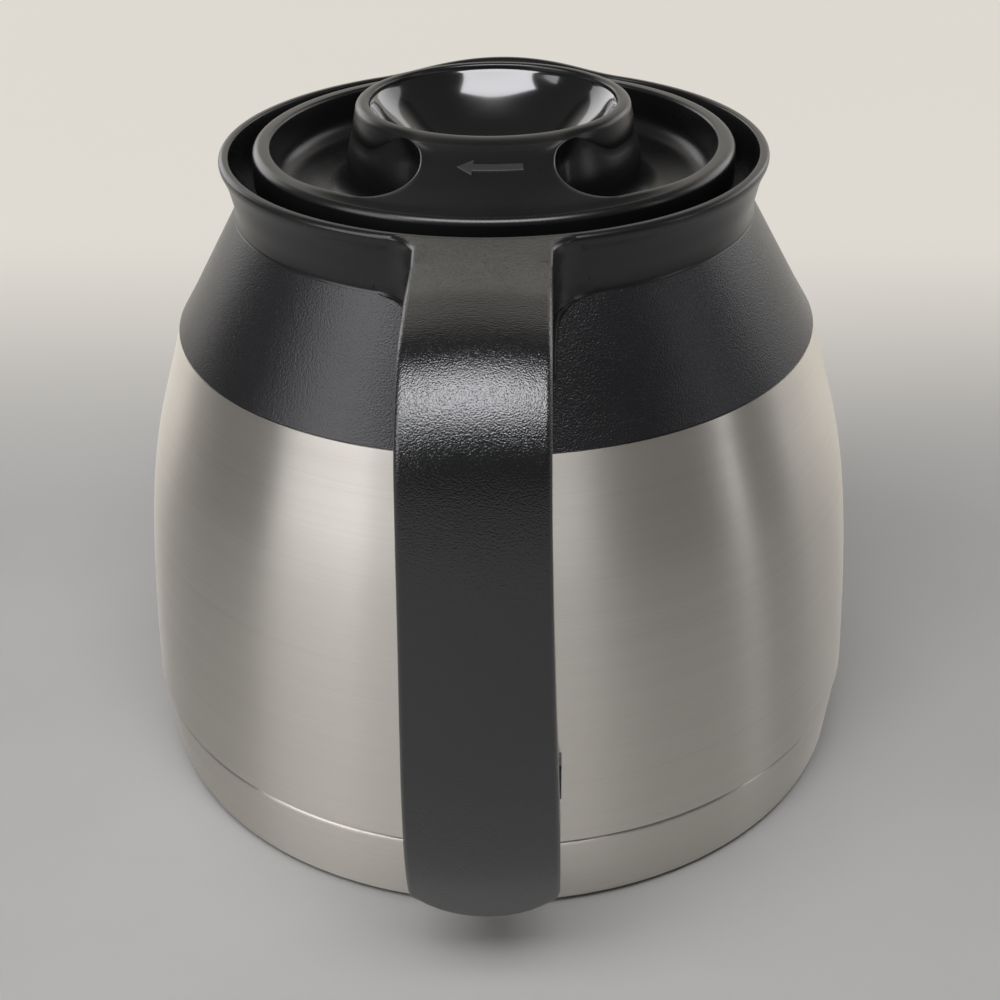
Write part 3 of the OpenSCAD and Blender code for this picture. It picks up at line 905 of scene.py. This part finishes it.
    def bowed(self, rows: Sequence[Sequence[float]], share: float, turn: float,
              closing: float = 0.0) -> list[Point]:
        """Returns one ring of the lower end, which runs down further in the strap's middle.

        Args:
            rows: The strap's stations.
            share: 0 on the last straight ring, 1 where the end's rounding begins.
            turn: Angle round the rounding of the end, from 0 to a right angle.
            closing: How far the ring has drawn together over the end, up to 1 at mid-thickness.

        Returns:
            The places of the ring's points.
        """
        last, steps = len(rows) - 1, self.span_steps
        pitch = (Vector(rows[last][0:2]) - Vector(rows[last - 1][0:2])).length
        inset = self.end_r * (1 - math.cos(turn))
        places = []
        for index, (across, _) in enumerate(self.outline(rows[last], self.edge_r)):
            back = self.end_back * min(1, abs(across) / rows[last][4] * 2) ** 2
            length = steps - back - self.end_r / pitch
            at = last - steps + share * length + math.sin(turn) * self.end_r / pitch
            low = min(int(at), last - 1)
            row = [mix(one, two, at - low) for one, two in zip(rows[low], rows[low + 1])]
            depth = (Vector(row[2:4]) - Vector(row[0:2])).length
            u, d = self.outline(row, self.edge_r)[index]
            drawn = mix(mix(d, depth / 2, 2 * inset / depth), depth / 2, closing)
            places.append(self.at(row, u * (1 - 2 * inset / row[4]), drawn))
        return places

    def smooth_root(self, strap: Piece, satin: bpy.types.Material) -> None:
        """Gives the upright sides of the fairing the rim's smooth finish, as one moulding."""
        strap.data.materials.append(satin)
        for face in strap.data.polygons:
            place, normal = face.center / MM, face.normal
            upright = abs(normal.x) + abs(normal.y) > 0.6
            if upright and place.y > -64 and place.z < 131:
                face.material_index = 1

    def build(self, shop: Workshop) -> None:
        """Builds and dresses the handle."""
        strap = self.strap()
        shop.mount(strap, "carafe", Slot.GRAINED_BLACK, "handle_shell")
        self.smooth_root(strap, shop.materials[Slot.SATIN_BLACK])
        shop.keep(Slot.SATIN_BLACK, "handle_liner")
        shop.keep(Slot.GRAINED_BLACK, "handle_foot")
        shop.keep(Slot.INNER_STEEL, "handle_bracket")
        shop.keep(Slot.PLATED_STEEL, "bracket_screw")


@dataclass
class Recess:
    """One kidney-shaped finger recess; the other is its mirror image."""

    inner_r: float = 29.0
    outer_r: float = 43.9
    floor_z: float = 123.3
    start: float = 32.5
    stop: float = 158.0
    edge_mm: float = 0.7
    floor_round: float = 3.9
    arc_points: int = 44
    end_points: int = 24

    @property
    def middle_r(self) -> float:
        """Radius on which the round ends are centred."""
        return (self.inner_r + self.outer_r) / 2

    @property
    def half(self) -> float:
        """Radius of the round ends."""
        return (self.outer_r - self.inner_r) / 2


@dataclass
class Lid:
    """The twist-off lid: ramp, rim band, two finger recesses, glossy dish and what is below."""

    lid_r: float = 47.5
    lid_z: float = 132.5
    dish_z: float = 140.0
    bore_r: float = 24.2
    under_z: float = 121.5
    recess: Recess = field(default_factory=Recess)
    ramp_line: tuple[Flat, ...] = ((28, 139.28), (28.6, 139.1), (30, 138.65), (32, 137.92),
                                   (35.5, 136.5), (39, 135.15), (41.5, 134.3), (44, 133.5),
                                   (46.8, 132.55))
    # the dish's rim from the bowl outwards, beside and behind it, and in front on the ramp
    rim_line: tuple[Flat, ...] = ((24.2, 138.9), (24.2, 139.45), (24.32, 139.76), (24.6, 139.94),
                                  (25.1, 140.0), (25.7, 139.93), (26.25, 139.72), (26.65, 139.4),
                                  (26.88, 138.95), (26.95, 138.4))
    rim_in_front: tuple[Flat, ...] = ((24.2, 138.9), (24.2, 139.45), (24.32, 139.76),
                                      (24.6, 139.94), (25.2, 140.0), (25.8, 139.95),
                                      (26.4, 139.83), (27.0, 139.66), (27.6, 139.45),
                                      (28.2, 139.22))
    dish_wall: tuple[Flat, ...] = ((127.5, 29.0), (130.0, 28.75), (132.5, 28.2), (134.0, 27.75),
                                   (135.5, 27.35), (137.0, 27.08), (139.2, 26.95))
    # where the upper face meets the dish's wall, in front and beside the dish
    crest_z: float = 139.1
    side_z: float = 134.5
    # how far the dish's rim is drawn out over the ramp, and how far the ramp follows it
    apron_mm: float = 1.65
    apron_fade_mm: float = 3.2
    front_columns: int = 28
    back_columns: int = 20

    def ramp(self, radius: float) -> float:
        """Returns the height of the ramp at a radius."""
        return along(self.ramp_line, radius)

    def frontness(self, degrees: float) -> float:
        """Returns 1 on the ramp's side of the lid and 0 beside and behind the dish."""
        return 1 - smooth_step(abs(degrees), self.recess.start, self.recess.start + 26)

    def nearness(self, degrees: float) -> float:
        """Returns 1 where the dish's rim runs out into the ramp and 0 where it stands free."""
        return 1 - smooth_step(abs(degrees), self.recess.start - 7, self.recess.start + 7)

    def rim_place(self, index: int, degrees: float) -> Flat:
        """Returns one point of the dish's rim, as radius and height."""
        near = self.nearness(degrees)
        (free_r, free_z), (front_r, front_z) = self.rim_line[index], self.rim_in_front[index]
        return mix(free_r, front_r, near), mix(free_z, front_z, near)

    def wall_place(self, share: float, degrees: float) -> Flat:
        """Returns a point of the dish's outer wall, from its rim down to the upper face.

        Args:
            share: 0 at the rim, 1 at the upper face.
            degrees: Angle from the handle.

        Returns:
            Its radius and height.
        """
        rim_r, rim_z = self.rim_place(-1, degrees)
        inner_r, inner_z = self.inner_edge(degrees)
        height = mix(rim_z, inner_z, share)
        free = mix(along(self.dish_wall, height), inner_r, share)
        return mix(free, mix(rim_r, inner_r, share), self.nearness(degrees)), height

    def top_height(self, radius: float, degrees: float) -> float:
        """Returns the height of the lid's upper face, away from the recesses and the dish."""
        return mix(self.lid_z, max(self.ramp(radius), self.lid_z), self.frontness(degrees))

    def inner_edge(self, degrees: float) -> Flat:
        """Returns where the upper face ends at the dish's wall, as radius and height."""
        back = smooth_step(abs(degrees), self.recess.stop - 30, self.recess.stop)
        height = mix(mix(self.side_z, self.crest_z, self.frontness(degrees)), self.lid_z, back)
        return along(self.dish_wall, height) + self.apron_mm * self.nearness(degrees), height

    def kidney(self, side: int) -> list[tuple[Point, Point, float, float]]:
        """Walks round the edge of one recess.

        Args:
            side: 1 for the recess on +X, -1 for the one on -X.

        Returns:
            For each point: its place on the nominal outline (height 0), the level direction into
            the recess, its angle from the handle, and how far it belongs to the dish's wall.
        """
        rec = self.recess
        walk: list[tuple[Point, Point, float, float]] = []

        def add(radius: float, degrees: float, inwards: Point, dish: float) -> None:
            """Adds one point of the walk."""
            x, y, _ = turned(radius, degrees, 0)
            walk.append(((side * x, y, 0.0), (side * inwards[0], inwards[1], 0.0), degrees, dish))

        for k in range(rec.arc_points):
            degrees = mix(rec.start, rec.stop, k / rec.arc_points)
            x, y, _ = turned(-1, degrees, 0)
            add(rec.outer_r, degrees, (x, y, 0), 0)
        for k in range(rec.end_points):
            self.round_end(add, rec.stop, k / rec.end_points, 1)
        for k in range(rec.arc_points):
            degrees = mix(rec.stop, rec.start, k / rec.arc_points)
            x, y, _ = turned(1, degrees, 0)
            add(rec.inner_r, degrees, (x, y, 0), 1)
        for k in range(rec.end_points):
            self.round_end(add, rec.start, 1 - k / rec.end_points, -1)
        return walk

    def round_end(self, add: Callable[..., None], at: float, share: float, turn: int) -> None:
        """Adds one point of a recess's round end.

        Args:
            add: Takes radius, angle, inward direction and share of the dish's wall.
            at: Angle from the handle of the end's centre.
            share: 0 at the outer arc, 1 at the inner arc.
            turn: 1 at the far end, -1 at the end beside the ramp.
        """
        rec = self.recess
        cx, cy, _ = turned(rec.middle_r, at, 0)
        out = math.radians(at)
        swing = math.pi * share * turn
        dx, dy = math.sin(out + swing), -math.cos(out + swing)
        x, y = cx + rec.half * dx, cy + rec.half * dy
        add(math.hypot(x, y), math.degrees(math.atan2(x, -y)), (-dx, -dy, 0),
            smooth_step(share, 0.62, 1.0))

    def edge_place(self, spot: tuple[Point, Point, float, float], down: float) -> Point:
        """Returns a point on the rounded edge of a recess.

        Args:
            spot: One point of the walk round the recess.
            down: 0 where the rounding starts on the upper face, 1 where the wall begins.

        Returns:
            Its place.
        """
        (px, py, _), (nx, ny, _), degrees, dish = spot
        rec = self.recess
        inner_r, inner_z = self.inner_edge(degrees)
        edge = rec.edge_mm * (1 - dish)
        start = mix(-rec.edge_mm, inner_r - rec.inner_r, dish)
        offset = start + edge * math.sin(math.radians(90 * down))
        x, y = px + nx * start, py + ny * start
        height = mix(self.top_height(math.hypot(x, y), degrees), inner_z, dish)
        height -= edge * (1 - math.cos(math.radians(90 * down))) + 0.12 * dish * down
        return px + nx * offset, py + ny * offset, height

    def pocket(self, side: int) -> Piece:
        """Returns the lining of one recess: edge, wall, soft fillet and floor."""
        rec = self.recess
        walk = self.kidney(side)
        rings = [[self.edge_place(spot, step / 5) for spot in walk] for step in range(6)]
        wall_low = rec.floor_z + rec.floor_round
        for step in range(1, 6):
            ring = []
            for spot, high in zip(walk, rings[5]):
                height = mix(high[2], wall_low, step / 5)
                (px, py, _), (nx, ny, _), _, dish = spot
                lean = along(self.dish_wall, height) - rec.inner_r
                offset = mix(0.0, lean, dish) + 0.25 * step / 5
                ring.append((px + nx * offset, py + ny * offset, height))
            rings.append(ring)
        for step in range(1, 8):
            angle = math.radians(90 * step / 7)
            offset = 0.25 + rec.floor_round * (1 - math.cos(angle))
            height = wall_low - rec.floor_round * math.sin(angle)
            rings.append([(px + nx * offset, py + ny * offset, height)
                          for (px, py, _), (nx, ny, _), _, _ in walk])
        piece = skinned(f"recess_{'right' if side > 0 else 'left'}", rings)
        bpy.ops.mesh.edge_face_add()
        bpy.ops.object.mode_set(mode="OBJECT")
        return piece

    def bridge_patch(self, name: str, columns: int, front: bool) -> Piece:
        """Returns the upper face between the two recesses, before or behind the dish.

        Args:
            name: Name of the patch.
            columns: Number of faces across.
            front: Whether it is the ramp's side.

        Returns:
            The patch, whose sides lie on the edges of both recesses.
        """
        walk = self.kidney(1)
        rec = self.recess
        if front:
            spots = walk[2 * rec.arc_points + rec.end_points:]
            spots = [*reversed(spots[1:]), spots[0]]
            spots = [walk[0], *spots]
        else:
            first = rec.arc_points
            spots = walk[first: first + rec.end_points + 1]
        rows = []
        for spot in spots:
            x, y, z = self.edge_place(spot, 0)
            radius = math.hypot(x, y)
            half_angle = math.atan2(x, -y) if front else math.atan2(x, y)
            row = []
            for k in range(columns + 1):
                angle = mix(-half_angle, half_angle, k / columns)
                place = (radius, z)
                if front and spot is spots[-1]:
                    place = self.inner_edge(math.degrees(angle))
                elif front:
                    place = self.meet_rim(radius, z, 2 * k / columns - 1)
                row.append((place[0] * math.sin(angle),
                            (-1 if front else 1) * place[0] * math.cos(angle), place[1]))
            rows.append(row)
        return patch(name, rows)

    def meet_rim(self, radius: float, height: float, across: float) -> Flat:
        """Returns a point of the ramp, drawn out with the dish's rim towards the middle.

        Args:
            radius: Radius of the point's row beside the recesses.
            height: Height of the row there.
            across: -1 and 1 at the recesses, 0 in the middle.

        Returns:
            The point's radius and height.
        """
        beside, middle = self.inner_edge(self.recess.start)[0], self.inner_edge(0)[0]
        here = self.inner_edge(across * self.recess.start)[0]
        inside = (here - beside) / (middle - beside)
        share = max(0.0, 1 - (radius - beside) / self.apron_fade_mm)
        moved = radius + share * inside * (middle - beside)
        return moved, mix(height, self.ramp(moved), inside)

    def girdle_angles(self) -> list[float]:
        """Returns the angles from the handle at which the outer and inner bands have points."""
        rec = self.recess
        right = [mix(rec.start, rec.stop, k / rec.arc_points) for k in range(rec.arc_points + 1)]
        front = [mix(-rec.start, rec.start, k / self.front_columns)
                 for k in range(1, self.front_columns)]
        back_half = 180 - rec.stop
        back = [180 + mix(-back_half, back_half, k / self.back_columns)
                for k in range(1, self.back_columns)]
        left = [360 - degrees for degrees in reversed(right)]
        return [*front, *right, *back, *left]

    def shell(self) -> Piece:
        """Returns the lid outside the upper face: band, side, underside, bore and dish wall."""
        rec = self.recess
        angles = [a if a <= 180 else a - 360 for a in self.girdle_angles()]
        rings: list[list[Point]] = []

        def ring(place: Callable[[float], Flat]) -> None:
            """Adds a ring whose radius and height depend on the angle."""
            rings.append([turned(place(a)[0], a, place(a)[1]) for a in angles])

        outer_start = rec.outer_r + rec.edge_mm

        def edge_r(degrees: float) -> float:
            """Returns the rounding of the lid's outer edge, sharper in front."""
            return mix(1.7, 1.35, 1 - smooth_step(abs(degrees), 34, 70))

        ring(lambda a: (outer_start, self.top_height(outer_start, a)))
        ring(lambda a: (mix(outer_start, self.lid_r - edge_r(a), 0.5),
                        self.top_height(mix(outer_start, self.lid_r - edge_r(a), 0.5), a)))
        for step in range(0, 8):
            angle = math.radians(90 * step / 7)
            ring(lambda a, angle=angle: (
                self.lid_r - edge_r(a) + edge_r(a) * math.sin(angle),
                self.lid_z - edge_r(a) + edge_r(a) * math.cos(angle)))
        for radius, height in ((self.lid_r, 128.0), (self.lid_r, self.under_z + 4.2),
                               (self.lid_r - 0.3, self.under_z + 3.0),
                               (self.lid_r - 1.1, self.under_z + 1.4),
                               (self.lid_r - 2.1, self.under_z + 0.5),
                               (self.lid_r - 3.3, self.under_z), (self.bore_r, self.under_z)):
            ring(lambda a, spot=(radius, height): spot)
        for index in range(len(self.rim_line)):
            ring(lambda a, index=index: self.rim_place(index, a))
        for share in (0.25, 0.5, 0.75, 1.0):
            ring(lambda a, share=share: self.wall_place(share, a))
        piece = skinned("lid_top", rings)
        bpy.ops.object.mode_set(mode="OBJECT")
        return piece

    def cover(self) -> Piece:
        """Returns the whole upper shell of the lid, welded from its parts."""
        parts = [self.shell(), self.pocket(1), self.pocket(-1),
                 self.bridge_patch("ramp_face", self.front_columns, True),
                 self.bridge_patch("back_face", self.back_columns, False)]
        return joined(parts, 38)

    def dish(self) -> Piece:
        """Returns the glossy bowl with the stepped neck that holds the drip tube."""
        neck, low, seat = 7.25, 126.5, self.bore_r
        bowl = flowing([(neck + 0.3, low), (10, low + 0.4), (13, low + 1.6), (16, low + 3.5),
                        (seat - 4.6, self.dish_z - 6.7), (seat - 2.1, self.dish_z - 4),
                        (seat - 0.3, self.dish_z - 1.3)], 5)
        under = [(r + 0.5, z - 2) for r, z in bowl[5:-4:3]]
        outline = [(neck, low - 1.4), (neck, low - 0.35), (neck + 0.1, low - 0.1), *bowl,
                   (seat - 0.12, self.dish_z - 1.12), (seat - 0.05, self.dish_z - 1.2),
                   (seat - 0.05, self.dish_z - 4), *reversed(under), (9.2, low - 2),
                   (9.2, low - 4), (6.45, low - 4), (6.45, low - 1.4)]
        return close_up(spun("drip_bowl", outline, 160), 50)

    def arrow(self) -> Piece:
        """Returns the raised arrow on the ramp that says which way the lid turns to lock."""
        middle_r, half_head, head, tail, shaft = 34.2, 1.85, 2.8, 11.8, 0.8
        flat: list[Flat] = [(-tail / 2, 0), (-tail / 2 + head, -half_head),
                            (-tail / 2 + head, -shaft)]
        flat += [(mix(-tail / 2 + head, tail / 2, k / 6), -shaft) for k in range(1, 7)]
        flat += [(mix(tail / 2, -tail / 2 + head, k / 6), shaft) for k in range(0, 7)]
        flat += [(-tail / 2 + head, half_head)]

        def lay_on(u: float, v: float, lift: float) -> Point:
            """Returns a point of the arrow, bent round the lid and laid on the ramp."""
            radius = middle_r + v
            return turned(radius, math.degrees(u / middle_r) + 0.9, self.ramp(radius) + lift)

        rings = [[lay_on(u, v, -0.2) for u, v in flat], [lay_on(u, v, 0.2) for u, v in flat],
                 [lay_on(u * 0.985, v * 0.9, 0.3) for u, v in flat]]
        return close_up(drawn_through("lock_arrow", rings), 30)

    def build(self, shop: Workshop) -> None:
        """Builds and dresses the lid, its seal and its drip valve."""
        shop.mount(self.cover(), "lid", Slot.SATIN_BLACK, "lid_cover")
        shop.mount(self.dish(), "lid", Slot.GLOSS_BLACK, "drip_dish")
        arrow = self.arrow()
        shop.mount(arrow, "lid", Slot.SATIN_BLACK)
        dress([arrow], ARROW_GRAIN.build())
        shop.keep(Slot.GLOSS_BLACK, "drip_tube", "lid_plug", "valve_guide")
        shop.keep(Slot.PLATED_STEEL, "lid_screws", "valve_spring")
        shop.keep(Slot.SILICONE, "tube_gasket", "lid_seal", "valve_washer")
        shop.keep(Slot.SATIN_BLACK, "drip_valve")


# ---- studio


@dataclass(frozen=True)
class SoftBox:
    """One soft lamp of the studio, seen from the carafe."""

    name: str
    # angle from the handle's side towards +X, and angle above the table
    around: float
    above: float
    distance: float
    width: float
    height: float
    watts: float
    hex_colour: str = "fbfbff"
    # how far its left end hangs lower than its right end, in degrees
    roll: float = 0.0

    def place(self) -> None:
        """Adds the lamp and turns it to the carafe."""
        aim = Vector((0, 0, 90)) * MM
        x, y, _ = turned(self.distance * math.cos(math.radians(self.above)), self.around, 0)
        spot = aim + Vector((x, y, self.distance * math.sin(math.radians(self.above)))) * MM
        deselect_all()
        bpy.ops.object.light_add(type="AREA", location=spot)
        lamp = bpy.context.object
        lamp.name = self.name
        lamp.data.shape = "RECTANGLE"
        lamp.data.size, lamp.data.size_y = self.width * MM, self.height * MM
        lamp.data.energy = self.watts
        lamp.data.color = linear(self.hex_colour)[:3]
        facing = (aim - spot).to_track_quat("-Z", "Y").to_matrix()
        lamp.rotation_euler = (facing @ Matrix.Rotation(math.radians(self.roll), 3, "Z")).to_euler()


@dataclass
class Studio:
    """Camera, soft lamps, floor and backdrop."""

    lamps: tuple[SoftBox, ...] = (
        SoftBox("key", -6, 62, 900, 880, 400, 8.8, roll=8),
        SoftBox("left_window", -55, 28, 900, 520, 560, 2.6),
        SoftBox("left_back", -138, 15, 900, 640, 400, 1.25),
        SoftBox("right_back", 125, 17, 900, 660, 400, 1.15),
        SoftBox("right_strip", 80, 16, 900, 60, 460, 0.24),
    )
    floor_hex: str = "a4a3a0"
    # colour of the backdrop's painted glow, an emission that stands in for a lit wall
    backdrop_glow_hex: str = "e8e3da"
    floor_half: float = 1500.0
    sweep_from: float = 520.0
    sweep_r: float = 300.0
    sweep_top: float = 1400.0
    room_hex: str = "e6e6e8"
    room_strength: float = 0.15
    lens: float = 56.926
    camera_at: Point = (11.461, -305.295, 228.465)
    # turns about Z, X and Z, in degrees
    camera_turns: Point = (2.0903, 59.5424, -0.7503)

    def camera(self) -> None:
        """Adds the camera, from the fit to the photograph's circles."""
        data = bpy.data.cameras.new("photo_camera")
        camera = bpy.data.objects.new("photo_camera", data)
        bpy.context.scene.collection.objects.link(camera)
        data.sensor_width = 36.0
        data.lens = self.lens
        data.clip_start, data.clip_end = 0.01, 20.0
        pan, tilt, roll = (math.radians(degrees) for degrees in self.camera_turns)
        turn = (Matrix.Rotation(pan, 4, "Z") @ Matrix.Rotation(tilt, 4, "X")
                @ Matrix.Rotation(roll, 4, "Z"))
        camera.matrix_world = Matrix.Translation(Vector(self.camera_at) * MM) @ turn
        bpy.context.scene.camera = camera

    def sweep(self) -> Piece:
        """Returns the floor that bends up into the backdrop, one smooth sheet."""
        side = self.floor_half
        rows = [(-side, 0.0), (0.0, 0.0), (self.sweep_from, 0.0)]
        for step in range(1, 13):
            turn = math.radians(90 * step / 12)
            rows.append((self.sweep_from + self.sweep_r * math.sin(turn),
                         self.sweep_r * (1 - math.cos(turn))))
        rows.append((self.sweep_from + self.sweep_r, self.sweep_top))
        piece = patch("studio_floor", [[(-side, y, z), (0.0, y, z), (side, y, z)] for y, z in rows])
        bpy.ops.object.shade_smooth()
        return piece

    def floor_material(self) -> bpy.types.Material:
        """Returns matt painted board with a faint mottle, which fades into a glowing backdrop:
        painted light that the camera and reflections see.
        """
        material, tree, shader = begin_material("painted board and backdrop glow")
        place = add_node(tree, "ShaderNodeTexCoord").outputs["Object"]
        mottle = add_node(tree, "ShaderNodeTexNoise", inputs={
            "Vector": place, "Scale": 1 / (60 * MM), "Detail": 4.0})
        tint(tree, shader, self.floor_hex, mottle.outputs["Fac"], (0.97, 1.02))
        rays = add_node(tree, "ShaderNodeLightPath").outputs
        spot = add_node(tree, "ShaderNodeSeparateXYZ", inputs={"Vector": place})
        width = add_node(tree, "ShaderNodeMath", {"operation": "ABSOLUTE"}, {
            0: spot.outputs["X"]})
        shader.inputs["Roughness"].default_value = 0.75
        # the backdrop is a painted glow: an emission that shows as pale wall to the camera and to
        # what mirrors it, and lights nothing
        seen = add_node(tree, "ShaderNodeMath", {"operation": "ADD"}, {
            0: rays["Is Camera Ray"], 1: rays["Is Glossy Ray"]})
        share = add_node(tree, "ShaderNodeMath", {"operation": "ADD", "use_clamp": True}, {
            0: seen.outputs[0], 1: rays["Is Transmission Ray"]})
        # the painted glow begins behind the carafe and fades away upwards and to both sides like
        # light falling off, which also dims it in reflections
        fades = ((spot.outputs["Y"], (60, 300), (0.0, 0.85)),
                 (spot.outputs["Z"], (640, 1150), (1.0, 0.0)),
                 (width.outputs[0], (600, 1500), (1.0, 0.0)))
        for way, (start, end), (first, last) in fades:
            part = add_node(tree, "ShaderNodeMapRange", {"interpolation_type": "SMOOTHSTEP"}, {
                "Value": way, "From Min": start * MM, "From Max": end * MM,
                "To Min": first, "To Max": last})
            share = add_node(tree, "ShaderNodeMath", {"operation": "MULTIPLY"}, {
                0: share.outputs[0], 1: part.outputs[0]})
        # painted light: the backdrop glows with this colour instead of being lit by the lamps
        glow = add_node(tree, "ShaderNodeEmission", inputs={
            "Color": linear(self.backdrop_glow_hex), "Strength": 1.0})
        both = add_node(tree, "ShaderNodeMixShader", inputs={
            0: share.outputs[0], 1: shader.outputs[0], 2: glow.outputs[0]})
        tree.links.new(both.outputs[0], tree.nodes["Material Output"].inputs["Surface"])
        return material

    def world(self) -> None:
        """Lights the room evenly and faintly."""
        world = bpy.data.worlds.new("studio")
        bpy.context.scene.world = world
        world.use_nodes = True
        back = world.node_tree.nodes["Background"]
        back.inputs["Color"].default_value = linear(self.room_hex)
        back.inputs["Strength"].default_value = self.room_strength

    def build(self) -> None:
        """Sets up the whole studio."""
        self.camera()
        for lamp in self.lamps:
            lamp.place()
        floor = self.sweep()
        dress([floor], self.floor_material())
        self.world()
        bpy.context.scene.view_settings.view_transform = "Standard"


def main() -> None:
    """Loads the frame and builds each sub-assembly in order."""
    logging.basicConfig(level=logging.INFO, format="%(name)s: %(message)s")
    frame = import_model()
    studio = Studio()
    studio.build()
    shop = Workshop(frame["nodes"], {slot: finish.build() for slot, finish in FINISHES.items()})
    Vessel().build(shop)
    collar = Collar()
    collar.build(shop)
    Handle(collar).build(shop)
    Lid().build(shop)


if __name__ == "__main__":
    main()
